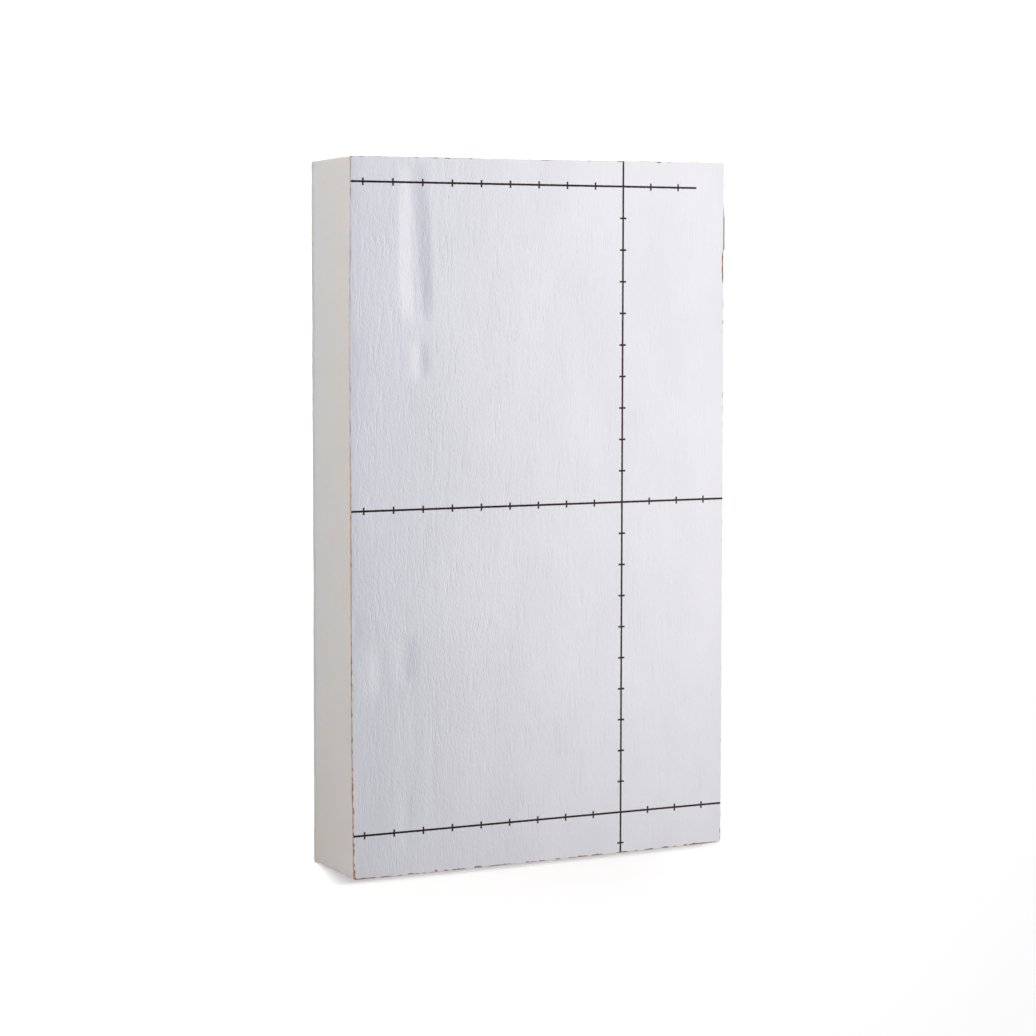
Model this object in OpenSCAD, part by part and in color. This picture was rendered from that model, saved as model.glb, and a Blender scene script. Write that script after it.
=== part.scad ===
// Foil-faced polyisocyanurate (polyiso) insulation board, cut to a hand sample and lying flat.
// The foamed core is bonded between two facers. Each facer is a sheet of brown kraft paper
// with a skin of aluminium foil on its outer side.
// Millimetres. The origin is the centre of the lower face, +Y runs along the length,
// and +Z points out of the printed face.

/* [Board] */
// Width of the cut board, along X
board_width = 132; // [60:1:1200]
// Length of the cut board, along Y
board_length = 222; // [80:1:2500]
// Thickness over both facers, along Z
board_thickness = 30; // [15:1:200]
// Radius that handling has rubbed on the four upright corners
corner_radius = 1; // [0.4:0.1:6]

/* [Facers] */
// Thickness of the kraft paper in each facer
kraft_thickness = 0.4; // [0.2:0.05:1]
// Thickness of the aluminium foil on each kraft sheet
foil_thickness = 0.1; // [0.05:0.01:0.3]
// Width of bare kraft where the foil has worn back from the cut edge
foil_setback = 0.3; // [0.1:0.1:2]

/* [Hidden] */

facer_thickness = kraft_thickness + foil_thickness;
core_thickness = board_thickness - 2 * facer_thickness;

// Heights of the underside of each layer, from the floor up
back_foil_z = 0;
back_kraft_z = back_foil_z + foil_thickness;
core_z = back_kraft_z + kraft_thickness;
front_kraft_z = core_z + core_thickness;
front_foil_z = front_kraft_z + kraft_thickness;

// Outline of the board with its rubbed corners, drawn in from the cut by inset.
// It is a cross of two rectangles with a true arc at each corner.
module board_outline(inset = 0) {
    half_width = board_width / 2 - inset;
    half_length = board_length / 2 - inset;
    radius = corner_radius;
    square([2 * (half_width - radius), 2 * half_length], center = true);
    square([2 * half_width, 2 * (half_length - radius)], center = true);
    for (side = [-1, 1], end = [-1, 1])
        translate([side * (half_width - radius), end * (half_length - radius)])
            circle(r = radius, $fn = 48);
}

// One flat layer of the laminate, with its underside at height z
module layer(z, thickness, inset = 0) {
    translate([0, 0, z])
        linear_extrude(height = thickness)
            board_outline(inset);
}

// Closed-cell foam, square-cut and pale on all four sides
module foam_core() {
    color([0.79, 0.77, 0.74])
        layer(core_z, core_thickness);
}

// Brown paper under the printed foil, seen only at the cut edges
module front_kraft_paper() {
    color([0.62, 0.42, 0.31])
        layer(front_kraft_z, kraft_thickness);
}

// Satin foil that carries the printed centimetre lines
module front_aluminium_foil() {
    color([0.88, 0.88, 0.92])
        layer(front_foil_z, foil_thickness, foil_setback);
}

// Brown paper of the facer that the board lies on
module back_kraft_paper() {
    color([0.62, 0.42, 0.31])
        layer(back_kraft_z, kraft_thickness);
}

// Plain foil that rests on the floor
module back_aluminium_foil() {
    color([0.86, 0.86, 0.88])
        layer(back_foil_z, foil_thickness, foil_setback);
}

foam_core();
front_kraft_paper();
front_aluminium_foil();
back_kraft_paper();
back_aluminium_foil();
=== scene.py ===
"""Looks of the foil-faced polyiso insulation board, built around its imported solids.

Shapes are worked out in millimetres along the solids' own axes and become metres when a mesh is made.
The foam, the kraft papers and the foils are closed meshes whose outlines follow one hand-made knife cut.
The two facers are built alike: the back one is made face up and then turned over.
"""

import math

import bpy
import numpy as np
from mathutils import Matrix, Vector
from mathutils.geometry import delaunay_2d_cdt


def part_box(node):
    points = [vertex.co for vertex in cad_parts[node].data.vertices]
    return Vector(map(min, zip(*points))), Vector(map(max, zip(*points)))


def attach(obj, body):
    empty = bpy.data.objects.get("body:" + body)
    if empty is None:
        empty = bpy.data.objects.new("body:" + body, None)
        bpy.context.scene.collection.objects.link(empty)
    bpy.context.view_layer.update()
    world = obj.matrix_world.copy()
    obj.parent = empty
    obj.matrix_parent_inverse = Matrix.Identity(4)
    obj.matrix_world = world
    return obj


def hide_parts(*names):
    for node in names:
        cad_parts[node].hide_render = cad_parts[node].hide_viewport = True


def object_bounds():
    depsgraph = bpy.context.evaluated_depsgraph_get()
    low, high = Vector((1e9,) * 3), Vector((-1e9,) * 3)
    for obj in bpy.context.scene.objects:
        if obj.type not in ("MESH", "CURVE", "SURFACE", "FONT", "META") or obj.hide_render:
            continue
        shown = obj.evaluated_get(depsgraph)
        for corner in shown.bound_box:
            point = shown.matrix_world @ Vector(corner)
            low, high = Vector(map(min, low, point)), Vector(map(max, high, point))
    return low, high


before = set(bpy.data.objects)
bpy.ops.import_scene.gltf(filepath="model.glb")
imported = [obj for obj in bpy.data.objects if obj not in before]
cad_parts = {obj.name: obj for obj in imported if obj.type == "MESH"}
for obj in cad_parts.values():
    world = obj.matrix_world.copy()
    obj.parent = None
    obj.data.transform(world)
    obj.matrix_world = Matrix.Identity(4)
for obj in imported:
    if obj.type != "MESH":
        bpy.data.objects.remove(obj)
cad_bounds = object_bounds()

MM = 0.001


def node_heights(node):
    """Lowest and highest z of a CAD node, in millimetres."""
    low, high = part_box(node)
    return low[2] / MM, high[2] / MM


BOARD_LOW, BOARD_HIGH = (np.array(corner) / MM for corner in cad_bounds)
FOAM_Z = node_heights("foam_core")
KRAFT_Z = node_heights("front_kraft_paper")
FOIL_Z = node_heights("front_aluminium_foil")

# ---------------------------------------------------------------- noise


def smooth_step(value):
    value = np.clip(value, 0, 1)
    return value * value * (3 - 2 * value)


def lattice_value(cell_x, cell_y, seed):
    """A fixed pseudo-random number from -1 to 1 for each lattice point."""
    mixed = np.sin(cell_x * 127.1 + cell_y * 311.7 + seed * 74.7) * 43758.5453
    return 2 * (mixed - np.floor(mixed)) - 1


def noise(x, y, seed):
    """Smooth noise from -1 to 1 with features about one unit wide."""
    x, y = np.broadcast_arrays(np.asarray(x, float), np.asarray(y, float))
    cell_x, cell_y = np.floor(x), np.floor(y)
    blend_x, blend_y = smooth_step(x - cell_x), smooth_step(y - cell_y)

    def row(y_step):
        left = lattice_value(cell_x, cell_y + y_step, seed)
        right = lattice_value(cell_x + 1, cell_y + y_step, seed)
        return left * (1 - blend_x) + right * blend_x

    return row(0) * (1 - blend_y) + row(1) * blend_y


# ---------------------------------------------------------------- the cut outline

# How far the cut lies inside the solids' straight edges, in mm at even steps along each edge:
# left and right run from the bottom to the top, bottom and top from left to right.
FRONT_CUT = {
    "left": (0.70, 0.30, 0.15, 0.08, 0.03, 0.0, 0.0, 0.20, 0.40),
    "right": (0.05, 0.0, 0.05, 0.10, 0.12, 0.15, 0.24, 0.48, 0.50),
    "bottom": (0.10, 0.05, 0.12, 0.20, 0.22, 0.32, 0.45, 0.55, 0.65),
    "top": (0.58, 0.48, 0.46, 0.42, 0.38, 0.30, 0.12, 0.02, 0.02),
}
BACK_CUT = {
    "left": (0.0, 0.10, 0.12, 0.20, 0.15, 0.15, 0.10, 0.10, 0.08),
    "right": (0.20, 0.15, 0.25, 0.15, 0.25, 0.20, 0.30, 0.20, 0.35),
    "bottom": (0.50, 0.45, 0.40, 0.45, 0.35, 0.40, 0.30, 0.35, 0.30),
    "top": (1.20, 1.10, 1.05, 0.90, 0.85, 0.75, 0.70, 0.55, 0.50),
}
# Each edge: the axis that it runs along, and the side of the board that it is on
EDGES = {"bottom": (0, -1), "right": (1, 1), "top": (0, 1), "left": (1, -1)}
# The outline goes round anticlockwise, edge by edge, from corner to corner
ROUTE = (
    ("bottom", "bottom_left", "bottom_right"),
    ("right", "bottom_right", "top_right"),
    ("top", "top_right", "top_left"),
    ("left", "top_left", "bottom_left"),
)
CORNER_RADIUS = {"bottom_left": 0.5, "bottom_right": 0.9, "top_right": 0.6, "top_left": 0.5}
OUTLINE_STEP = 0.35
# Rounds that settle where two edges cross
CORNER_ROUNDS = 6


def edge_line(edge):
    axis, side = EDGES[edge]
    return (BOARD_LOW if side < 0 else BOARD_HIGH)[1 - axis]


def at_stations(values, edge, along):
    """Values given at even steps along an edge, read at positions along it."""
    axis, _ = EDGES[edge]
    return np.interp(along, np.linspace(BOARD_LOW[axis], BOARD_HIGH[axis], len(values)), values)


def corner_rounding(distance, radius):
    """Inset that turns a square corner into an arc, at a distance along the edge from it."""
    inside = np.clip(1 - distance / radius, 0, 1)
    return radius * (1 - np.sqrt(1 - inside**2))


def outline(inset, drop=None):
    """Closed outline of a layer as an array of points.

    inset(edge, along) is its inset from the solids' edge. With drop(edge, along), a second array
    gives that value at each point.
    """
    corners = {}
    for index, (edge, _, corner) in enumerate(ROUTE):
        next_edge = ROUTE[(index + 1) % len(ROUTE)][0]
        point = np.zeros(2)
        point[1 - EDGES[edge][0]] = edge_line(edge)
        point[1 - EDGES[next_edge][0]] = edge_line(next_edge)
        # Each edge's inset is taken where the other edge really crosses it
        for _ in range(CORNER_ROUNDS):
            for this in (edge, next_edge):
                axis, side = EDGES[this]
                point[1 - axis] = edge_line(this) - side * inset(this, point[[axis]])[0]
        corners[corner] = point
    points = []
    drops = []
    for edge, start, end in ROUTE:
        axis, side = EDGES[edge]
        first, last = corners[start][axis], corners[end][axis]
        direction = math.copysign(1, last - first)
        # Two edges share each corner's arc and meet at its 45 degree point
        trim = 1 - math.sqrt(0.5)
        span = np.linspace(
            first + direction * trim * CORNER_RADIUS[start],
            last - direction * trim * CORNER_RADIUS[end],
            round((BOARD_HIGH - BOARD_LOW)[axis] / OUTLINE_STEP),
            endpoint=False,
        )
        rounding = corner_rounding(abs(span - first), CORNER_RADIUS[start])
        rounding += corner_rounding(abs(span - last), CORNER_RADIUS[end])
        across = edge_line(edge) - side * (np.maximum(inset(edge, span), 0) + rounding)
        points.append(np.column_stack((span, across) if axis == 0 else (across, span)))
        if drop is not None:
            drops.append(drop(edge, span))
    if drop is None:
        return np.concatenate(points)
    return np.concatenate(points), np.concatenate(drops)


# ---------------------------------------------------------------- wear along the cut

SEED = {"bottom": 11, "right": 23, "top": 37, "left": 53}
# Bare kraft beside the front foil, in mm at even steps along each edge as in FRONT_CUT
FRONT_SETBACK = {
    "left": (0.10, 0.09, 0.11, 0.13, 0.17, 0.11, 0.07, 0.10, 0.12),
    "right": (0.04, 0.02, 0.02, 0.02, 0.02, 0.03, 0.05, 0.03, 0.02),
    "bottom": (0.08, 0.06, 0.06, 0.05, 0.05, 0.06, 0.06, 0.08, 0.05),
    "top": (0.03, 0.04, 0.06, 0.04, 0.03, 0.03, 0.02, 0.02, 0.01),
}
BACK_SETBACK = 0.1
# How far the back facer's cut lies inside the foam's
BACK_RECESS = {"left": 0.35, "right": 0.05, "bottom": 0.0, "top": 0.05}
# Bites that the knife tore out of the foil: depth, usual length and share of the edge
FRONT_BITES = {
    "left": (0.10, 2.0, 0.35),
    "right": (0.12, 2.2, 0.30),
    "bottom": (0.34, 1.9, 0.52),
    "top": (0.24, 2.3, 0.36),
}
BACK_BITES = (0.25, 2.4, 0.4)
# Single tears of the front foil: edge, middle along it, length and depth
FRONT_TEARS = (
    ("left", -109.2, 4.4, 0.50),
    ("left", -106.2, 1.6, 0.42),
    ("left", -102.3, 3.4, 0.34),
    ("left", -99.9, 1.6, 0.38),
    ("left", -96.6, 1.4, 0.36),
    ("left", -94.0, 2.6, 0.20),
    ("left", -89.4, 2.6, 0.38),
    ("left", -85.4, 2.6, 0.30),
    ("left", -82.0, 3.2, 0.38),
    ("left", -79.4, 1.8, 0.26),
    ("left", -76.4, 1.2, 0.18),
    ("left", -71.0, 1.4, 0.18),
    ("left", -67.2, 1.8, 0.20),
    ("left", -59.6, 1.6, 0.26),
    ("left", -54.8, 2.2, 0.18),
    ("left", -51.0, 3.0, 0.22),
    ("left", -46.6, 2.2, 0.24),
    ("left", -43.0, 2.6, 0.20),
    ("left", -37.6, 1.6, 0.14),
    ("left", -10.2, 3.4, 0.12),
    ("left", 3.4, 1.6, 0.24),
    ("left", 7.0, 3.2, 0.16),
    ("left", 13.6, 2.4, 0.12),
    ("right", -108.9, 1.4, 0.26),
    ("right", -106.4, 2.2, 0.36),
    ("right", -76.4, 2.0, 0.12),
    ("right", -5.0, 3.0, 0.12),
    ("right", 32.0, 3.0, 0.14),
    ("right", 36.3, 2.0, 0.22),
    ("right", 57.0, 2.0, 0.14),
    ("right", 59.9, 1.8, 0.24),
    ("right", 66.0, 4.0, 0.14),
    ("right", 77.6, 12.6, 0.50),
    ("bottom", -65.2, 1.6, 0.40),
    ("bottom", -59.0, 2.8, 0.30),
    ("bottom", -53.4, 2.2, 0.28),
    ("bottom", -49.4, 1.2, 0.24),
    ("bottom", -46.2, 1.8, 0.36),
    ("bottom", -43.7, 1.8, 0.24),
    ("bottom", -41.4, 1.6, 0.22),
    ("bottom", -38.8, 1.6, 0.20),
    ("bottom", -33.7, 1.0, 0.34),
    ("bottom", -28.6, 4.0, 0.30),
    ("bottom", -22.6, 3.4, 0.38),
    ("bottom", -15.8, 1.6, 0.18),
    ("bottom", -12.0, 2.6, 0.20),
    ("bottom", -5.2, 1.4, 0.36),
    ("bottom", -2.8, 2.0, 0.20),
    ("bottom", 10.8, 3.2, 0.24),
    ("bottom", 13.4, 1.8, 0.38),
    ("bottom", 16.2, 1.2, 0.18),
    ("bottom", 18.2, 1.0, 0.22),
    ("bottom", 19.9, 1.2, 0.38),
    ("bottom", 27.8, 1.4, 0.24),
    ("bottom", 30.2, 2.4, 0.30),
    ("bottom", 45.0, 2.8, 0.32),
    ("bottom", 48.6, 1.6, 0.24),
    ("bottom", 52.6, 1.4, 0.42),
    ("bottom", 57.6, 9.0, 0.44),
    ("top", -65.4, 1.4, 0.20),
    ("top", -57.2, 3.6, 0.10),
    ("top", -43.6, 1.6, 0.18),
    ("top", -37.2, 2.2, 0.20),
    ("top", -33.2, 2.4, 0.30),
    ("top", -25.2, 1.6, 0.22),
    ("top", -5.2, 1.6, 0.12),
    ("top", 26.9, 2.0, 0.20),
    ("top", 41.3, 1.6, 0.34),
    ("top", 45.0, 1.4, 0.16),
)
# Where the front facer is pressed out past the foam: edge, from, to and how far
FLAP = ("right", 83.1, 99.2, 0.72)
# Lengths over which it rises at its lower end and fades at its upper end
FLAP_START = 0.9
FLAP_FADE = 11
# Where the front foil was dragged down over the paper's cut: edge, and drop at even steps along it
DRAG_EDGE = "left"
DRAG_DROP = (0.0, 0.0, 0.01, 0.02, 0.01, 0.11, 0.20, 0.18, 0.10)
# Drop at which the foil covers the cut and shows no bare kraft
FULL_DROP = 0.1
# Thickness of the foil where it hangs, and its drop elsewhere
FOIL_BODY = 0.06
LEAST_DROP = 0.01
# Slow wander of the front paper's cut, and the depth and length of its torn fibres
KRAFT_WANDER = 0.10
FRONT_FRAY = 0.10
BACK_FRAY = 0.12
FIBRE_LENGTH = 0.8


def bump(along, middle, length):
    """1 over most of a stretch of that length, falling to 0 at its two ends."""
    return smooth_step(2.2 * (1 - abs(along - middle) / (length / 2)))


def bites(edge, along, sizes, seed):
    """Inset of the foil's torn stretches along an edge."""
    depth, length, share = sizes
    strength = noise(along / length, 0.5, seed + SEED[edge])
    ragged = 0.75 + 0.35 * noise(along / 0.7, 3.5, seed + SEED[edge])
    return depth * ragged * smooth_step((strength - (1 - 2 * share)) / 0.35)


def fray(edge, along, depth, seed):
    """Inset of a paper's torn fibres along an edge."""
    return depth * (0.5 + 0.5 * noise(along / FIBRE_LENGTH, 7.5, seed + SEED[edge]))


def flap(edge, along):
    """How far the front facer is pressed out: at once at its lower end, and fading at its upper end."""
    flap_edge, start, end, rise = FLAP
    if edge != flap_edge:
        return np.zeros_like(along)
    return rise * smooth_step((along - start) / FLAP_START + 0.5) * smooth_step((end - along) / FLAP_FADE)


def dragged(edge, along):
    """How far the front foil hangs down over the paper's cut."""
    if edge != DRAG_EDGE:
        return np.zeros_like(along)
    ragged = 0.5 * noise(along / 1.1, 5.5, SEED[edge])
    gaps = 0.45 * noise(along / 4.0, 6.5, SEED[edge])
    return at_stations(DRAG_DROP, edge, along) * np.clip(0.75 + ragged + gaps, 0, 1.3)


def front_kraft_inset(edge, along):
    cut = at_stations(FRONT_CUT[edge], edge, along)
    wander = KRAFT_WANDER * (0.5 + 0.5 * noise(along / 9, 2.5, SEED[edge]))
    return cut + wander + fray(edge, along, FRONT_FRAY, 1) - flap(edge, along)


def front_foil_inset(edge, along):
    worn = at_stations(FRONT_SETBACK[edge], edge, along) + bites(edge, along, FRONT_BITES[edge], 2)
    for tear_edge, middle, length, depth in FRONT_TEARS:
        if tear_edge == edge:
            rough = 1 + 0.35 * noise(along / 0.9, 4.5, SEED[edge])
            worn = np.maximum(worn, worn * 0.4 + depth * rough * bump(along, middle, length))
    covered = np.clip(dragged(edge, along) / FULL_DROP, 0, 1)
    return front_kraft_inset(edge, along) + worn * (1 - covered)


def front_foil_drop(edge, along):
    """How far the front foil's cut edge reaches down."""
    return LEAST_DROP + dragged(edge, along)


def back_kraft_inset(edge, along):
    return at_stations(BACK_CUT[edge], edge, along) + BACK_RECESS[edge] + fray(edge, along, BACK_FRAY, 5)


def back_foil_inset(edge, along):
    return back_kraft_inset(edge, along) + (BACK_SETBACK + bites(edge, along, BACK_BITES, 6))


# ---------------------------------------------------------------- the foil's relief

# Under the foil the paper is pressed in, inside a flat rim, which leaves room for the dents
RIM = 1.8
HOLLOW_SLOPE = 0.8
HOLLOW = 0.36
FOIL_SLACK = 0.02
# A flat-bottomed valley in the front foil: y, x of the middle of its two slopes, their widths and its depth
VALLEY = (
    (53.0, -46.8, -40.2, 6.0, 5.0, 0.0),
    (60.0, -46.8, -40.2, 6.0, 5.0, 0.03),
    (64.0, -47.0, -40.0, 6.0, 5.0, 0.17),
    (70.0, -47.4, -40.0, 6.2, 5.2, 0.23),
    (82.0, -47.5, -40.7, 6.2, 5.8, 0.24),
    (99.0, -47.5, -42.0, 5.6, 6.2, 0.19),
    (111.0, -47.6, -42.6, 5.4, 6.0, 0.08),
)
# The valley fades out where the paper's flat rim starts
HOLD_START = 1.4
HOLD_LENGTH = 3.0
# Soft dents of the front foil: x, y, reach in x, reach in y and depth
DENTS = (
    (-42.5, 48.6, 1.7, 3.8, 0.120),
    (-66.8, 48.0, 2.0, 5.0, 0.045),
    (-47.9, -44.2, 2.3, 4.8, 0.125),
    (-56.3, -46.2, 2.1, 5.2, 0.100),
    (-52.2, -45.6, 1.9, 5.0, 0.040),
    (-66.8, -33.0, 2.2, 3.8, 0.075),
    (-48.9, -75.0, 0.9, 12.0, 0.014),
    (-44.9, -65.0, 1.3, 8.0, 0.024),
    (-46.9, -82.5, 1.3, 7.0, 0.024),
    (-38.4, -78.0, 1.0, 10.0, 0.015),
    (-47.2, -96.0, 1.6, 5.5, 0.048),
    (-36.6, 86.0, 1.0, 14.0, 0.009),
    (-34.0, -2.0, 0.9, 16.0, 0.008),
    (-41.8, 8.0, 1.0, 12.0, 0.009),
    (-38.0, -24.0, 1.0, 10.0, 0.010),
)
# The foil is pressed down beside the left cut: drop and reach, above a place along it
ROLLED = (0.050, 1.5)
ROLLED_FROM = -60.0
ROLLED_FULL = -38.0
# How far the foil may sink over the paper's flat rim, and how far inside the rim that still holds
RIM_ROOM = 0.085
RIM_MARGIN = 0.1
# Heights of the fine and the broad wrinkles, and depth of the creases
FINE_WRINKLE = 0.0009
BROAD_WRINKLE = 0.0014
CREASE_DEPTH = 0.0016
# Seeds of the wrinkles of the front and the back foil
FRONT_SEED = 61
BACK_SEED = 83


def edge_distance(x, y):
    """Distance from the nearest of the solids' edges."""
    across = np.minimum(x - BOARD_LOW[0], BOARD_HIGH[0] - x)
    return np.minimum(across, np.minimum(y - BOARD_LOW[1], BOARD_HIGH[1] - y))


def dents(x, y):
    depth = np.zeros_like(x)
    for dent_x, dent_y, reach_x, reach_y, dent_depth in DENTS:
        across, along = (x - dent_x) / reach_x, (y - dent_y) / reach_y
        depth += dent_depth * np.exp(-(across**2) / 2 - (along**4) / 4)
    return depth


def wrinkles(x, y, seed):
    """Shallow lengthwise wrinkles, with a few longer creases that wander sideways."""
    wander = 0.7 * noise(x / 14, y / 17, seed) + 0.12 * noise(x / 6, y / 6, seed + 1)
    fine = noise((x + wander) / 1.1, y / 4.5, seed + 2)
    broad = noise((x + wander) / 4.2, y / 16, seed + 3)
    crease = np.clip(1 - 3.2 * abs(noise((x + 1.5 * wander) / 4.0, y / 17, seed + 4)), 0, 1)
    return FINE_WRINKLE * fine + BROAD_WRINKLE * broad - CREASE_DEPTH * crease


def valley(x, y):
    at_y, *columns = zip(*VALLEY)
    down, up, down_width, up_width, depth = (np.interp(y, at_y, column) for column in columns)
    fall = smooth_step((x - down) / down_width + 0.5)
    rise = smooth_step((x - up) / up_width + 0.5)
    held = smooth_step((edge_distance(x, y) - HOLD_START) / HOLD_LENGTH)
    return held * depth * fall * (1 - rise)


def rolled_edge(x, y):
    drop, reach = ROLLED
    share = smooth_step((y - ROLLED_FROM) / (ROLLED_FULL - ROLLED_FROM))
    return drop * share * np.exp(-np.maximum(x - BOARD_LOW[0], 0) / reach)


def front_relief(x, y):
    """Height of the front foil's surface over the solids' upper face, never above it."""
    relief = -FOIL_SLACK + wrinkles(x, y, FRONT_SEED) - dents(x, y) - valley(x, y) - rolled_edge(x, y)
    over_rim = edge_distance(x, y) < RIM + RIM_MARGIN
    return np.minimum(np.where(over_rim, np.maximum(relief, -RIM_ROOM), relief), 0)


def back_relief(x, y):
    return np.minimum(-FOIL_SLACK + wrinkles(x, y, BACK_SEED), 0)


# ---------------------------------------------------------------- meshes

SHARP_ANGLE = math.radians(35)
# Points nearer to each other than this are taken as one when a band is filled, in mm
MERGE_DISTANCE = 1e-9
# Clear space that the foil's loose points keep from its grid and its outline, and from its corners' arcs
LOOSE_CLEAR = 0.3
CORNER_CLEAR = 1


class Shell:
    """Collects the vertices and faces of one closed mesh, in millimetres."""

    def __init__(self):
        self.vertices = []
        self.faces = []
        self.count = 0

    def add(self, points, z):
        """Adds points at a height, which is one number or one for each point, and returns their indices."""
        heights = np.broadcast_to(z, len(points))
        self.vertices.append(np.column_stack((points, heights)))
        self.count += len(points)
        return np.arange(self.count - len(points), self.count)

    def wall(self, lower, upper):
        """Quads between two loops of equal length, facing outwards."""
        quads = np.column_stack((lower, np.roll(lower, -1), np.roll(upper, -1), upper))
        self.faces += quads.tolist()

    def cap(self, loop, up):
        self.faces.append(loop.tolist() if up else loop[::-1].tolist())

    def band(self, outer, inner, loose, up):
        """Triangles that fill the band between a ragged loop and a straight one inside it."""
        every = np.concatenate((outer, inner, loose)).astype(int)
        points = np.concatenate(self.vertices)[every, :2]
        loops = [(i, (i + 1) % len(outer)) for i in range(len(outer))]
        loops += [(len(outer) + i, len(outer) + (i + 1) % len(inner)) for i in range(len(inner))]
        vectors = [Vector(point) for point in points]
        _, _, triangles, origin, _, _ = delaunay_2d_cdt(vectors, loops, [], 1, MERGE_DISTANCE)
        inner_points = points[len(outer):len(outer) + len(inner)]
        inner_low, inner_high = inner_points.min(0), inner_points.max(0)
        for triangle in triangles:
            corners = [origin[i][0] for i in triangle]
            middle = points[corners].mean(0)
            if np.all(middle > inner_low) and np.all(middle < inner_high):
                continue
            face = every[corners].tolist()
            self.faces.append(face if up else face[::-1])

    def hollow_cap(self, loop, rim_z, hollow_z, up):
        """Closes a ragged loop with a flat rim and a shallow hollow inside it."""
        rim = self.add(rectangle(RIM), rim_z)
        hollow = self.add(rectangle(RIM + HOLLOW_SLOPE), hollow_z)
        self.band(loop, rim, np.array([], int), up)
        if up:
            self.wall(rim, hollow)
        else:
            self.wall(rim[::-1], hollow[::-1])
        self.cap(hollow, up)

    def piece(self, name, material_slot, node, turned_over=False):
        """Makes the Blender object, which stands for the CAD node of that name."""
        vertices = np.concatenate(self.vertices)
        faces = self.faces
        if turned_over:
            vertices[:, 2] = BOARD_HIGH[2] - vertices[:, 2]
            faces = [face[::-1] for face in faces]
        mesh = bpy.data.meshes.new(name)
        mesh.from_pydata((vertices * MM).tolist(), [], faces)
        mesh.validate()
        mesh.polygons.foreach_set("use_smooth", [True] * len(mesh.polygons))
        mesh.set_sharp_from_angle(angle=SHARP_ANGLE)
        made = bpy.data.objects.new(name, mesh)
        bpy.context.collection.objects.link(made)
        made.data.materials.append(MATERIALS[material_slot](material_slot))
        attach(made, "root")
        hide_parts(node)


def rectangle(inset):
    """Corners of the board's face, inset, anticlockwise from the bottom left."""
    (left, bottom), (right, top) = BOARD_LOW[:2] + inset, BOARD_HIGH[:2] - inset
    return np.array([(left, bottom), (right, bottom), (right, top), (left, top)])


def grid_steps(axis, pitch):
    low, high = BOARD_LOW[axis] + RIM, BOARD_HIGH[axis] - RIM
    return np.linspace(low, high, round((high - low) / pitch) + 1)


def foil_shell(inset, relief, pitch_x, pitch_y, drop=None):
    """A foil, face up: a fine grid with relief, joined to the ragged outline, over a hollow underside.

    With drop(edge, along), the cut edge hangs down by that much as a thin lip.
    """
    shell = Shell()
    ragged = outline(inset)
    xs, ys = grid_steps(0, pitch_x), grid_steps(1, pitch_y)
    grid_x, grid_y = np.meshgrid(xs, ys)
    flat = np.column_stack((grid_x.ravel(), grid_y.ravel()))
    grid = shell.add(flat, FOIL_Z[1] + relief(flat[:, 0], flat[:, 1])).reshape(grid_x.shape)
    quads = np.stack((grid[:-1, :-1], grid[:-1, 1:], grid[1:, 1:], grid[1:, :-1]), -1)
    shell.faces += quads.reshape(-1, 4).tolist()
    grid_rim = np.concatenate((grid[0, :-1], grid[:-1, -1], grid[-1, :0:-1], grid[:0:-1, 0]))

    rim_top = shell.add(ragged, FOIL_Z[1] + relief(ragged[:, 0], ragged[:, 1]))
    loose_points = rim_lattice(xs, ys, inset)
    loose = shell.add(loose_points, FOIL_Z[1] + relief(loose_points[:, 0], loose_points[:, 1]))
    shell.band(rim_top, grid_rim, loose, up=True)

    if drop is None:
        rim_bottom = shell.add(ragged, FOIL_Z[0])
        shell.wall(rim_bottom, rim_top)
    else:
        inner, fall = outline(lambda edge, along: inset(edge, along) + FOIL_BODY, drop)
        lip_outside = shell.add(ragged, FOIL_Z[0] - fall)
        lip_inside = shell.add(inner, FOIL_Z[0] - fall)
        rim_bottom = shell.add(inner, FOIL_Z[0])
        shell.wall(lip_outside, rim_top)
        shell.wall(lip_inside, lip_outside)
        shell.wall(rim_bottom, lip_inside)
    shell.hollow_cap(rim_bottom, FOIL_Z[0], FOIL_Z[0] - HOLLOW, up=False)
    return shell


def rim_lattice(xs, ys, inset):
    """Points between the fine grid and the ragged outline, on the same lattice and clear of both."""
    step_x, step_y = xs[1] - xs[0], ys[1] - ys[0]
    outer_x = np.arange(BOARD_LOW[0] + (xs[0] - BOARD_LOW[0]) % step_x, BOARD_HIGH[0], step_x)
    outer_y = np.arange(BOARD_LOW[1] + (ys[0] - BOARD_LOW[1]) % step_y, BOARD_HIGH[1], step_y)
    x, y = (part.ravel() for part in np.meshgrid(outer_x, outer_y))
    beside_x = (x < xs[0] - LOOSE_CLEAR) | (x > xs[-1] + LOOSE_CLEAR)
    beside_y = (y < ys[0] - LOOSE_CLEAR) | (y > ys[-1] + LOOSE_CLEAR)
    within = np.ones_like(x, bool)
    for edge, (axis, side) in EDGES.items():
        along, across = (x, y) if axis == 0 else (y, x)
        depth = side * (edge_line(edge) - across)
        within &= depth > inset(edge, along) + LOOSE_CLEAR
    for corner, radius in CORNER_RADIUS.items():
        end, side = corner.split("_")
        corner_x = (BOARD_LOW if side == "left" else BOARD_HIGH)[0]
        corner_y = (BOARD_LOW if end == "bottom" else BOARD_HIGH)[1]
        within &= np.hypot(x - corner_x, y - corner_y) > radius + CORNER_CLEAR
    keep = (beside_x | beside_y) & within
    return np.column_stack((x[keep], y[keep]))


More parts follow.
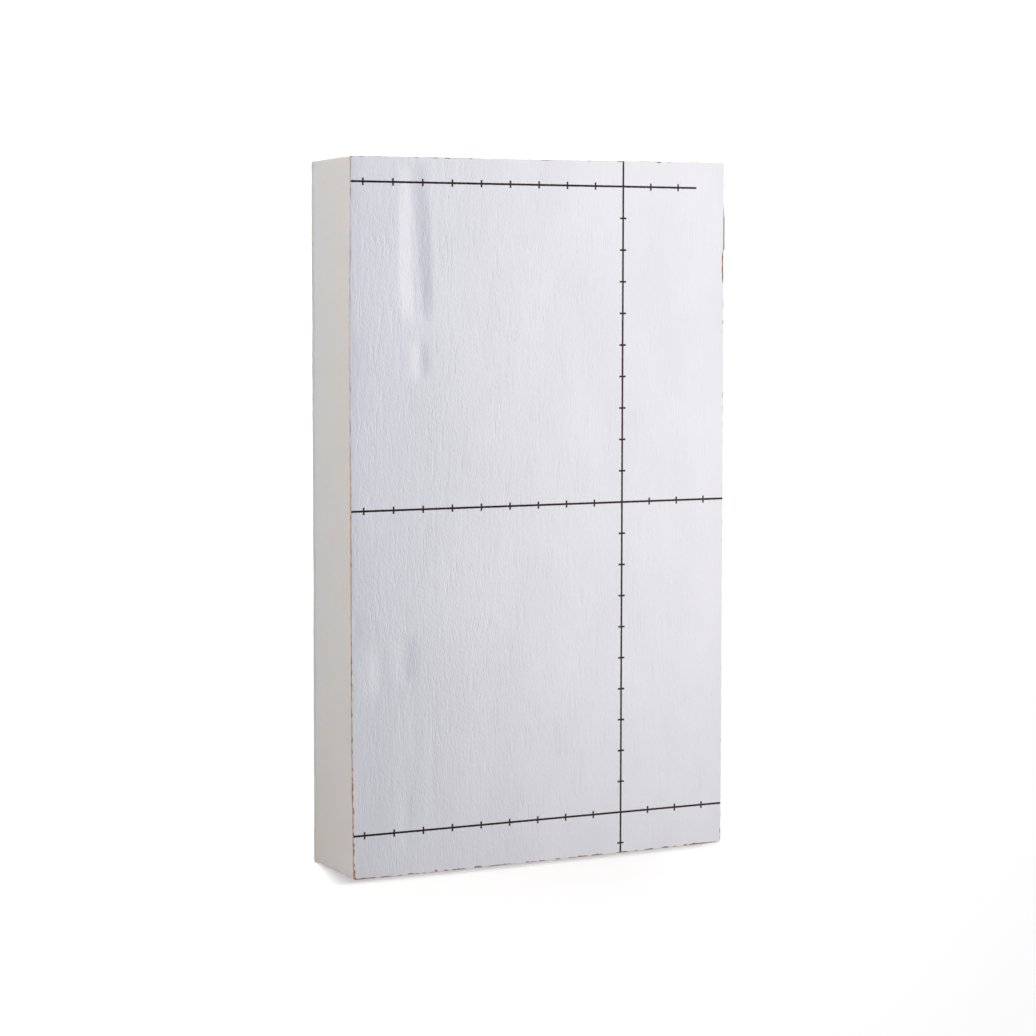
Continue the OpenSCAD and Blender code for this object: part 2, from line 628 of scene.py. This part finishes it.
def kraft_shell(inset):
    """A kraft paper, face up: a flat sheet with a ragged outline and room for the foil's dents."""
    shell = Shell()
    ragged = outline(inset)
    lower = shell.add(ragged, KRAFT_Z[0])
    upper = shell.add(ragged, KRAFT_Z[1])
    shell.cap(lower, up=False)
    shell.wall(lower, upper)
    shell.hollow_cap(upper, KRAFT_Z[1], KRAFT_Z[1] - HOLLOW, up=True)
    return shell


# Height of the foam's rings of points
FOAM_STEP = 1.2
# How far the foam stands inside the papers' cuts, and the room that its drag marks need there
FOAM_RECESS = 0.04
DRAG_ROOM = 0.06
# Depths of the knife's broad and fine drag marks
BROAD_DRAG = 0.07
FINE_DRAG = 0.03
# The knife stopped short of the back, so the last of the bottom end snapped off with a lip
LIP_HEIGHT = 2.6
LIP_DEPTH = 0.45


def foam_inset(height):
    """The foam's inset at a height, between the back cut and the front cut."""
    rise = (height - FOAM_Z[0]) / (FOAM_Z[1] - FOAM_Z[0])

    def inset(edge, along):
        front = at_stations(FRONT_CUT[edge], edge, along) + FOAM_RECESS
        back = at_stations(BACK_CUT[edge], edge, along) + FOAM_RECESS
        broad = BROAD_DRAG * noise(along / 7, height / 5, SEED[edge])
        fine = FINE_DRAG * noise(along / 1.7, height / 1.9, SEED[edge] + 1)
        lip = 0.0
        if edge == "bottom":
            torn = 0.7 * noise(along / 5, 1.5, 97)
            lip = LIP_DEPTH * (1 - rise) * smooth_step((height - LIP_HEIGHT - torn) / 0.8)
        return back + (front - back) * rise + lip + (broad + fine) + DRAG_ROOM

    return inset


def foam_shell():
    """The foam block, as a stack of outlines with a flat cap at each end."""
    shell = Shell()
    heights = np.linspace(*FOAM_Z, round((FOAM_Z[1] - FOAM_Z[0]) / FOAM_STEP) + 1)
    loops = [shell.add(outline(foam_inset(height)), height) for height in heights]
    for lower, upper in zip(loops, loops[1:]):
        shell.wall(lower, upper)
    shell.cap(loops[0], up=False)
    shell.cap(loops[-1], up=True)
    return shell


# ---------------------------------------------------------------- materials


class Nodes:
    """Short names for making the nodes of one material."""

    def __init__(self, name):
        self.material = bpy.data.materials.new(name)
        self.material.use_nodes = True
        self.tree = self.material.node_tree
        self.shader = self.tree.nodes["Principled BSDF"]

    def add(self, kind, inputs, output=0, **settings):
        """Adds a node, sets or links its inputs, and returns one of its outputs."""
        made = self.tree.nodes.new(kind)
        for key, value in settings.items():
            setattr(made, key, value)
        for key, value in inputs.items():
            self.put(made.inputs[key], value)
        return made.outputs[output]

    def put(self, socket, value):
        if isinstance(value, bpy.types.NodeSocket):
            self.tree.links.new(value, socket)
        else:
            socket.default_value = value

    def surface(self, **values):
        """Sets or links sockets of the shader, such as base_color."""
        for key, value in values.items():
            socket = "Specular IOR Level" if key == "specular" else key.replace("_", " ").title()
            self.put(self.shader.inputs[socket], value)

    def math(self, operation, *values):
        return self.add("ShaderNodeMath", dict(enumerate(values)), operation=operation)

    def distance(self, value, middle):
        return self.math("ABSOLUTE", self.math("SUBTRACT", value, middle))

    def millimetres(self):
        """The object's own coordinates, in millimetres."""
        place = self.add("ShaderNodeTexCoord", {}, output="Object")
        return self.add("ShaderNodeVectorMath", {0: place, "Scale": 1 / MM}, operation="SCALE")

    def axes(self, place):
        split = self.add("ShaderNodeSeparateXYZ", {0: place}, output="X").node
        return split.outputs["X"], split.outputs["Y"], split.outputs["Z"]

    def noise(self, place, size, detail=2.0, roughness=0.5, distortion=0.0):
        """Noise from 0 to 1 with features of a size in millimetres along X, Y and Z."""
        steps = tuple(1 / length for length in size)
        inputs = {
            "Vector": self.add("ShaderNodeVectorMath", {0: place, 1: steps}, operation="MULTIPLY"),
            "Scale": 1.0,
            "Detail": detail,
            "Roughness": roughness,
            "Distortion": distortion,
        }
        return self.add("ShaderNodeTexNoise", inputs)

    def remap(self, value, low, high, new_low=0.0, new_high=1.0, smooth=False):
        """Stretches a value from one range to another and holds it there."""
        inputs = {"Value": value, "From Min": low, "From Max": high, "To Min": new_low, "To Max": new_high}
        kind = "SMOOTHSTEP" if smooth else "LINEAR"
        return self.add("ShaderNodeMapRange", inputs, interpolation_type=kind)

    def spread(self, noise, new_low, new_high):
        """Stretches the middle of a noise, where most of it lies, to a new range."""
        return self.remap(noise, 0.3, 0.7, new_low, new_high)

    def blend(self, factor, first, second):
        """Mixes two colours."""
        made = self.tree.nodes.new("ShaderNodeMix")
        made.data_type = "RGBA"
        for socket, value in zip((made.inputs[0], made.inputs[6], made.inputs[7]), (factor, first, second)):
            self.put(socket, value)
        return made.outputs[2]

    def bump(self, height, depth_mm, normal=None):
        """A normal that follows a height, on top of another normal if one is given."""
        inputs = {"Height": height, "Distance": depth_mm * MM, "Strength": 1.0}
        if normal is not None:
            inputs["Normal"] = normal
        return self.add("ShaderNodeBump", inputs)


def srgb(red, green, blue):
    """A colour written in the usual 0 to 255 values."""

    def linear(value):
        value /= 255
        return value / 12.92 if value <= 0.04045 else ((value + 0.055) / 1.055) ** 2.4

    return (linear(red), linear(green), linear(blue), 1.0)


# The printed ruler: a grid of lines 100 mm apart with a cross tick at each 10 mm
PRINT_X = 28.42
PRINT_Y = 2.72
LINE_GAP = 100.0
TICK_GAP = 10.0
LINE_WIDTH = 0.66
TICK_WIDTH = 0.60
TICK_LENGTH = 2.3
# How far the ink's edge wavers to either side, and half the width over which it fades
BLEED = 0.05
# The top line stops short of the right edge
TOP_LINE_END = 55.2


def printed_mask(nodes, place):
    """1 on the printed lines and ticks and 0 off them, with slightly bled edges."""
    x, y, _ = nodes.axes(place)
    x = nodes.math("SUBTRACT", x, PRINT_X)
    y = nodes.math("SUBTRACT", y, PRINT_Y)
    from_upright = nodes.math("ABSOLUTE", x)
    from_level = nodes.math("PINGPONG", y, LINE_GAP / 2)
    from_x_mark = nodes.math("PINGPONG", x, TICK_GAP / 2)
    from_y_mark = nodes.math("PINGPONG", y, TICK_GAP / 2)

    def ruled(across, mark):
        """Distance outside a line or its ticks, negative on the ink."""
        line = nodes.math("SUBTRACT", across, LINE_WIDTH / 2)
        beside = nodes.math("SUBTRACT", mark, TICK_WIDTH / 2)
        beyond = nodes.math("SUBTRACT", across, TICK_LENGTH / 2)
        return nodes.math("MINIMUM", line, nodes.math("MAXIMUM", beside, beyond))

    past_end = nodes.math("SUBTRACT", x, TOP_LINE_END - PRINT_X)
    near_top = nodes.math("SUBTRACT", y, LINE_GAP / 2)
    level = nodes.math("MAXIMUM", ruled(from_level, from_x_mark), nodes.math("MINIMUM", past_end, near_top))
    upright = ruled(from_upright, from_y_mark)
    outside = nodes.math("MINIMUM", level, upright)
    bleed = nodes.spread(nodes.noise(place, (0.25, 0.25, 1.0), 1.0), -BLEED, BLEED)
    return nodes.remap(nodes.math("ADD", outside, bleed), -BLEED, BLEED, 1.0, 0.0, smooth=True)


# Spots of painted shade on the printed foil, in the gap at the pressed-out flap's edge and on a small fold
# at the bottom edge: middle x and y, reach in x and in y
SHADED_SPOTS = ((65.58, 90.0, 0.24, 8.0), (-37.25, -110.4, 0.5, 0.4))


def shaded_spot_mask(nodes, place):
    """1 on the spots of painted shade and 0 off them, with ragged edges."""
    x, y, _ = nodes.axes(place)
    ragged = nodes.spread(nodes.noise(place, (0.6, 1.4, 1.0), 2.0), -0.12, 0.12)
    masks = []
    for middle_x, middle_y, reach_x, reach_y in SHADED_SPOTS:
        across = nodes.math("MULTIPLY", nodes.distance(x, middle_x), 1 / reach_x)
        along = nodes.math("MULTIPLY", nodes.distance(y, middle_y), 1 / reach_y)
        far = nodes.math("ADD", nodes.math("MAXIMUM", across, along), ragged)
        masks.append(nodes.remap(far, 0.75, 1.05, 1.0, 0.0, smooth=True))
    return nodes.math("MAXIMUM", *masks)


# Dark grey of the painted shade spots
SPOT_SHADE_COLOUR = srgb(112, 112, 118)
FOIL_COLOUR = srgb(229, 229, 230)
FOIL_DULL = srgb(225, 225, 226)
INK_COLOUR = srgb(18, 14, 15)
# The lighter brown of thin ink, which the painted sheen towards the right also reaches
INK_THIN_AND_SHEEN = srgb(72, 56, 54)
INK_ROUGHNESS = 0.42
INK_SHEEN = 0.12
# Sizes along X, Y and Z and heights of the foil's grain and of the longer streaks between creases
GRAIN_SIZE = (0.52, 1.2, 1.0)
GRAIN_HEIGHT = 0.038
STREAK_SIZE = (1.4, 6.5, 1.0)
STREAK_HEIGHT = 0.029
# The creases: size, the part of the noise that they take, and depth as a share of the streaks' height
CREASE_SIZE = (1.9, 17.0, 1.0)
CREASE_WIDTH = 0.035
CREASE_SHARE = 0.60
# The crinkle is calmer towards the right: from and to along X, and the share that is left there
CALM_SPAN = (-34.0, 20.0)
CALM_SHARE = 0.72


def foil(name, printed):
    """Satin aluminium foil with a fine lengthwise crinkle, printed or plain."""
    nodes = Nodes(name)
    place = nodes.millimetres()
    grain = nodes.noise(place, GRAIN_SIZE, 2.0, 0.62)
    streaks = nodes.noise(place, STREAK_SIZE, 2.0, 0.5)
    from_crease = nodes.distance(nodes.noise(place, CREASE_SIZE, 1.0, 0.45), 0.5)
    creased = nodes.remap(nodes.noise(place, (5.0, 11.0, 1.0), 1.0), 0.42, 0.62)
    crease = nodes.math("MULTIPLY", nodes.remap(from_crease, 0.0, CREASE_WIDTH, 1.0, 0.0), creased)
    cloud = nodes.noise(place, (16.0, 40.0, 10.0), 2.0)
    colour = nodes.blend(nodes.remap(cloud, 0.35, 0.65), FOIL_DULL, FOIL_COLOUR)
    roughness = nodes.spread(grain, 0.31, 0.35)
    metal = 1.0
    across, _, _ = nodes.axes(place)
    if printed:
        _, _, upward = nodes.axes(nodes.add("ShaderNodeTexCoord", {}, output="Normal"))
        on_face = nodes.remap(upward, 0.5, 0.8)
        ink = nodes.math("MULTIPLY", printed_mask(nodes, place), on_face)
        # Painted sheen: the ink turns lighter towards the right, where the key lamp's reflection lies, on
        # top of its random thin patches
        rightward_sheen = nodes.remap(across, BOARD_LOW[0], BOARD_HIGH[0], -0.16, 0.12)
        density = nodes.math("ADD", nodes.noise(place, (0.5, 0.5, 1.0), 3.0, 0.6), rightward_sheen)
        ink_colour = nodes.blend(nodes.remap(density, 0.35, 0.8), INK_COLOUR, INK_THIN_AND_SHEEN)
        colour = nodes.blend(ink, colour, ink_colour)
        # Painted shade: dark grey spots in the gap at the flap's edge and on a fold at the bottom edge,
        # where the foil is not metal
        shaded_spot = shaded_spot_mask(nodes, place)
        colour = nodes.blend(shaded_spot, colour, SPOT_SHADE_COLOUR)
        metal = nodes.math("SUBTRACT", 1.0, nodes.math("MAXIMUM", ink, shaded_spot))
        roughness = nodes.remap(ink, 0.0, 1.0, roughness, INK_ROUGHNESS)
        nodes.surface(specular=nodes.remap(ink, 0.0, 1.0, 0.5, INK_SHEEN))
    relief = nodes.math("SUBTRACT", streaks, nodes.math("MULTIPLY", crease, CREASE_SHARE))
    calm = nodes.remap(across, *CALM_SPAN, 1.0, CALM_SHARE)
    normal = nodes.bump(nodes.math("MULTIPLY", relief, calm), STREAK_HEIGHT)
    normal = nodes.bump(nodes.math("MULTIPLY", grain, calm), GRAIN_HEIGHT, normal)
    nodes.surface(base_color=colour, metallic=metal, roughness=roughness, normal=normal)
    return nodes.material


# Sparse and dense fibres of the paper where it was cut and where the foil was torn off, and of the cut
# darkened by painted shade
KRAFT_CUT = (srgb(126, 92, 76), srgb(196, 158, 136))
KRAFT_TORN = (srgb(100, 66, 46), srgb(152, 114, 84))
KRAFT_PAINTED_SHADE = (srgb(76, 62, 58), srgb(140, 120, 112))
# Painted shade of the crevice under the foil's edge: the cut keeps its own colour below the first y and is
# darkened above the second
PAINTED_SHADE_SPAN = (12.0, 30.0)
# Depths under the paper's face between which the colour of the cut gives way to the torn one
TORN_DEPTHS = (0.06, 0.01)


def kraft_paper(name):
    """Brown paper with short fibres, darker on its face, where the foil was torn off, than at the cut, and
    with painted shade on the cut towards the top end.
    """
    nodes = Nodes(name)
    place = nodes.millimetres()
    fibres = nodes.noise(place, (0.8, 1.4, 0.3), 3.0, 0.6, 0.4)
    stain = nodes.noise(place, (3.0, 3.0, 3.0), 2.0)
    tone = nodes.math("ADD", nodes.math("MULTIPLY", fibres, 0.6), nodes.math("MULTIPLY", stain, 0.4))
    density = nodes.remap(tone, 0.42, 0.58)
    _, y, z = nodes.axes(place)
    shaded_cut = nodes.blend(density, *KRAFT_PAINTED_SHADE)
    cut, torn = nodes.blend(density, *KRAFT_CUT), nodes.blend(density, *KRAFT_TORN)
    # Painted shade: the cut darkens towards the top end, standing in for the crevice shadow under the
    # foil's edge
    cut = nodes.blend(nodes.remap(y, *PAINTED_SHADE_SPAN), cut, shaded_cut)
    middle = BOARD_HIGH[2] / 2
    low, high = (KRAFT_Z[1] - middle - depth for depth in TORN_DEPTHS)
    colour = nodes.blend(nodes.remap(nodes.distance(z, middle), low, high), cut, torn)
    roughness = nodes.spread(fibres, 0.8, 0.95)
    nodes.surface(base_color=colour, roughness=roughness, specular=0.2, normal=nodes.bump(fibres, 0.05))
    return nodes.material


FOAM_COOL = srgb(187, 189, 189)
FOAM_WARM = srgb(193, 187, 180)
FOAM_REAR = srgb(179, 177, 172)
FOAM_FRONT = srgb(188, 183, 174)
PORE_SHADE = srgb(176, 172, 166)
FOAM_END_SHADE = srgb(187, 178, 168)
# Painted shade darkens the bottom end and fades out at this y. Its share at the bottom end, and what is
# left of that at the front facer
SHADE_END = -48.0
SHADE_SHARE = 0.7
SHADE_FRONT = 0.15
# Heights between which the darker skin along the back facer fades out, and depths for the front one
REAR_SKIN = (1.2, 2.6)
FRONT_SKIN = (0.9, 0.2)


def foam(name):
    """Fine closed-cell foam, cut with a knife: faintly mottled, with a darker skin along each facer,
    painted shade at its bottom end and painted shade in its pores.
    """
    nodes = Nodes(name)
    place = nodes.millimetres()
    mottle = nodes.noise(place, (6.0, 9.0, 6.0), 3.0, 0.55)
    cells = nodes.add("ShaderNodeTexVoronoi", {"Vector": place, "Scale": 3.6, "Randomness": 1.0})
    fine = nodes.noise(place, (0.35, 0.35, 0.35), 2.0, 0.6)
    _, y, z = nodes.axes(place)
    frontward = nodes.remap(z, 0.0, BOARD_HIGH[2], -0.1, 0.5)
    warmth = nodes.math("ADD", nodes.spread(mottle, -0.1, 0.7), frontward)
    colour = nodes.blend(warmth, FOAM_COOL, FOAM_WARM)
    # Painted shade at the bottom end, where the sample stood on the floor, mostly towards the back facer
    end_shade = nodes.remap(y, BOARD_LOW[1], SHADE_END, SHADE_SHARE, 0.0)
    end_shade = nodes.math("MULTIPLY", end_shade, nodes.remap(z, 0.0, BOARD_HIGH[2], 1.0, SHADE_FRONT))
    colour = nodes.blend(end_shade, colour, FOAM_END_SHADE)
    wavering = nodes.math("ADD", z, nodes.spread(mottle, -0.5, 0.5))
    colour = nodes.blend(nodes.remap(wavering, *REAR_SKIN, 1.0, 0.0, smooth=True), colour, FOAM_REAR)
    low, high = (FOAM_Z[1] - depth for depth in FRONT_SKIN)
    colour = nodes.blend(nodes.remap(z, low, high, smooth=True), colour, FOAM_FRONT)
    # Painted shade in the pores: their pits are darkened in colour as well as sunk by the bump
    pores = nodes.remap(cells, 0.0, 0.28, 0.22, 0.0, smooth=True)
    colour = nodes.blend(nodes.math("MULTIPLY", pores, nodes.remap(fine, 0.35, 0.6)), colour, PORE_SHADE)
    height = nodes.math("SUBTRACT", fine, nodes.math("MULTIPLY", pores, 1.2))
    roughness = nodes.spread(fine, 0.85, 0.97)
    nodes.surface(base_color=colour, roughness=roughness, specular=0.15, normal=nodes.bump(height, 0.04))
    return nodes.material


MATERIALS = {
    "foam": foam,
    "kraft_paper": kraft_paper,
    "printed_foil": lambda name: foil(name, printed=True),
    "plain_foil": lambda name: foil(name, printed=False),
}

# ---------------------------------------------------------------- the pieces

# Pitch of each foil's grid along X and Y
FRONT_PITCH = (0.5, 0.8)
BACK_PITCH = (0.9, 1.6)

foam_shell().piece("foam_block", "foam", "foam_core")
kraft_shell(front_kraft_inset).piece("front_kraft", "kraft_paper", "front_kraft_paper")
front_foil = foil_shell(front_foil_inset, front_relief, *FRONT_PITCH, drop=front_foil_drop)
front_foil.piece("front_foil", "printed_foil", "front_aluminium_foil")
kraft_shell(back_kraft_inset).piece("back_kraft", "kraft_paper", "back_kraft_paper", turned_over=True)
back_foil = foil_shell(back_foil_inset, back_relief, *BACK_PITCH)
back_foil.piece("back_foil", "plain_foil", "back_aluminium_foil", turned_over=True)

# ---------------------------------------------------------------- camera, light and floor

# The point of the printed face that the camera looks at, and where it stands from there:
# its distance, its lean from straight above and the heading of that lean from +X
AIM = Vector((-0.0088, -0.0011, BOARD_HIGH[2] * MM))
CAMERA_DISTANCE = 0.8994
CAMERA_LEAN = math.radians(27.4)
CAMERA_HEADING = math.radians(170.13)
CAMERA_ROLL = math.radians(0.09)
LENS = 99.8


def look_from(position, aim, roll=0.0):
    """A placement at position that looks at aim, with the board's length upright in the picture."""
    back = (position - aim).normalized()
    right = Vector((0, 1, 0)).cross(back).normalized()
    turn = Matrix((right, back.cross(right), back)).transposed()
    return Matrix.Translation(position) @ (turn @ Matrix.Rotation(roll, 3, "Z")).to_4x4()


def add_camera():
    data = bpy.data.cameras.new("camera")
    data.lens = LENS
    camera = bpy.data.objects.new("camera", data)
    bpy.context.collection.objects.link(camera)
    flat = math.sin(CAMERA_LEAN)
    heading = (math.cos(CAMERA_HEADING), math.sin(CAMERA_HEADING))
    away = Vector((flat * heading[0], flat * heading[1], math.cos(CAMERA_LEAN)))
    camera.matrix_world = look_from(AIM + CAMERA_DISTANCE * away, AIM, CAMERA_ROLL)
    bpy.context.scene.camera = camera


# Softboxes: place, what each faces, turn in degrees, width, length, brightness and colour.
# The strip stands beside the camera and throws the thin shadow along the bottom edge.
LAMPS = {
    "key": ((0.614, 0.319, 0.70), (0.614, 0.319, 0.0), 12.0, 0.86, 1.08, 0.738, (1.0, 0.96, 0.86)),
    "top": ((-0.28, 0.34, 0.28), AIM, 0.0, 0.42, 0.42, 1.7, (1.0, 1.0, 1.0)),
    "fill": ((0.20, -0.65, 0.70), (0.20, -0.65, 0.0), 0.0, 1.0, 0.80, 0.09, (1.0, 0.93, 0.72)),
    "strip": ((-0.31, 0.098, 0.83), (-0.31, 0.098, 0.0), 0.0, 0.22, 0.042, 185.0, (1.0, 1.0, 1.0)),
}
# The foil doesn't mirror the strip, which would wash out its relief
UNMIRRORED = {"strip"}


def add_lamps():
    for name, (place, target, turn, width, length, brightness, colour) in LAMPS.items():
        data = bpy.data.lights.new(name, "AREA")
        data.shape = "RECTANGLE"
        data.size, data.size_y = width, length
        data.energy = brightness * math.pi * width * length
        data.color = colour
        lamp = bpy.data.objects.new(name, data)
        bpy.context.collection.objects.link(lamp)
        lamp.matrix_world = look_from(Vector(place), Vector(target), math.radians(turn))
        lamp.visible_glossy = name not in UNMIRRORED


def seen_directly(tree, *kinds):
    """1 for rays of the kinds that Light Path names."""
    path = tree.nodes.new("ShaderNodeLightPath")
    total = path.outputs[kinds[0]]
    for kind in kinds[1:]:
        either = tree.nodes.new("ShaderNodeMath")
        either.operation = "MAXIMUM"
        tree.links.new(total, either.inputs[0])
        tree.links.new(path.outputs[kind], either.inputs[1])
        total = either.outputs[0]
    return total


# The room's light: its walls as they light it, the same walls as metal mirrors them, and its ceiling
WALL_LIGHT = (0.34, 0.335, 0.325, 1)
MIRRORED_WALL = (0.89, 0.87, 0.83, 1)
CEILING_LIGHT = (0.424, 0.444, 0.588, 1)
NEAR_CEILING_LIGHT = (0.49, 0.487, 0.53, 1)
# The walls turn into the ceiling between these two heights of a direction
WALL_TOP = 0.2
CEILING_EDGE = 1.0
# The ceiling turns from blue to white between these two steps of a direction along -Y
NEAR_START = 0.05
NEAR_FULL = -0.40


def add_world():
    """A room that lights the board, which the camera sees as plain white."""
    world = bpy.data.worlds.new("world")
    world.use_nodes = True
    tree = world.node_tree
    room = tree.nodes["Background"]
    room.inputs["Strength"].default_value = 1
    place = tree.nodes.new("ShaderNodeTexCoord")
    split = tree.nodes.new("ShaderNodeSeparateXYZ")
    tree.links.new(place.outputs["Generated"], split.inputs[0])

    def mixed(share, first, second):
        mix = tree.nodes.new("ShaderNodeMix")
        mix.data_type = "RGBA"
        tree.links.new(share, mix.inputs[0])
        for socket, light in ((mix.inputs[6], first), (mix.inputs[7], second)):
            if isinstance(light, bpy.types.NodeSocket):
                tree.links.new(light, socket)
            else:
                socket.default_value = light
        return mix.outputs[2]

    def shaded(axis, start, full, first, second):
        """Mixes two lights by the direction's part along an axis."""
        share = tree.nodes.new("ShaderNodeMapRange")
        share.interpolation_type = "SMOOTHSTEP"
        share.inputs["From Min"].default_value = start
        share.inputs["From Max"].default_value = full
        tree.links.new(split.outputs[axis], share.inputs["Value"])
        return mixed(share.outputs[0], first, second)

    wall = mixed(seen_directly(tree, "Is Glossy Ray"), WALL_LIGHT, MIRRORED_WALL)
    ceiling = shaded("Y", NEAR_START, NEAR_FULL, CEILING_LIGHT, NEAR_CEILING_LIGHT)
    tree.links.new(shaded("Z", WALL_TOP, CEILING_EDGE, wall, ceiling), room.inputs["Color"])
    white = tree.nodes.new("ShaderNodeBackground")
    white.inputs["Color"].default_value = (1, 1, 1, 1)
    mix = tree.nodes.new("ShaderNodeMixShader")
    tree.links.new(seen_directly(tree, "Is Camera Ray", "Is Transmission Ray"), mix.inputs[0])
    tree.links.new(room.outputs[0], mix.inputs[1])
    tree.links.new(white.outputs[0], mix.inputs[2])
    tree.links.new(mix.outputs[0], tree.nodes["World Output"].inputs[0])
    bpy.context.scene.world = world


FLOOR_SIZE = 8.0
FLOOR_COLOUR = (0.8, 0.79, 0.765, 1)
# Light that the floor adds where it is seen or mirrored, so that it turns white and keeps its shadows
FLOOR_GLOW = 0.21


def add_floor():
    nodes = Nodes("floor")
    nodes.surface(base_color=FLOOR_COLOUR, roughness=1.0, specular=0.0, emission_color=(1, 1, 1, 1))
    background = seen_directly(nodes.tree, "Is Camera Ray", "Is Glossy Ray", "Is Transmission Ray")
    nodes.surface(emission_strength=nodes.math("MULTIPLY", background, FLOOR_GLOW))
    half = FLOOR_SIZE / 2
    corners = [(-half, -half, 0), (half, -half, 0), (half, half, 0), (-half, half, 0)]
    mesh = bpy.data.meshes.new("floor")
    mesh.from_pydata(corners, [], [(0, 1, 2, 3)])
    floor = bpy.data.objects.new("floor", mesh)
    floor.data.materials.append(nodes.material)
    bpy.context.collection.objects.link(floor)


add_camera()
add_lamps()
add_world()
add_floor()
bpy.context.scene.view_settings.view_transform = "Standard"
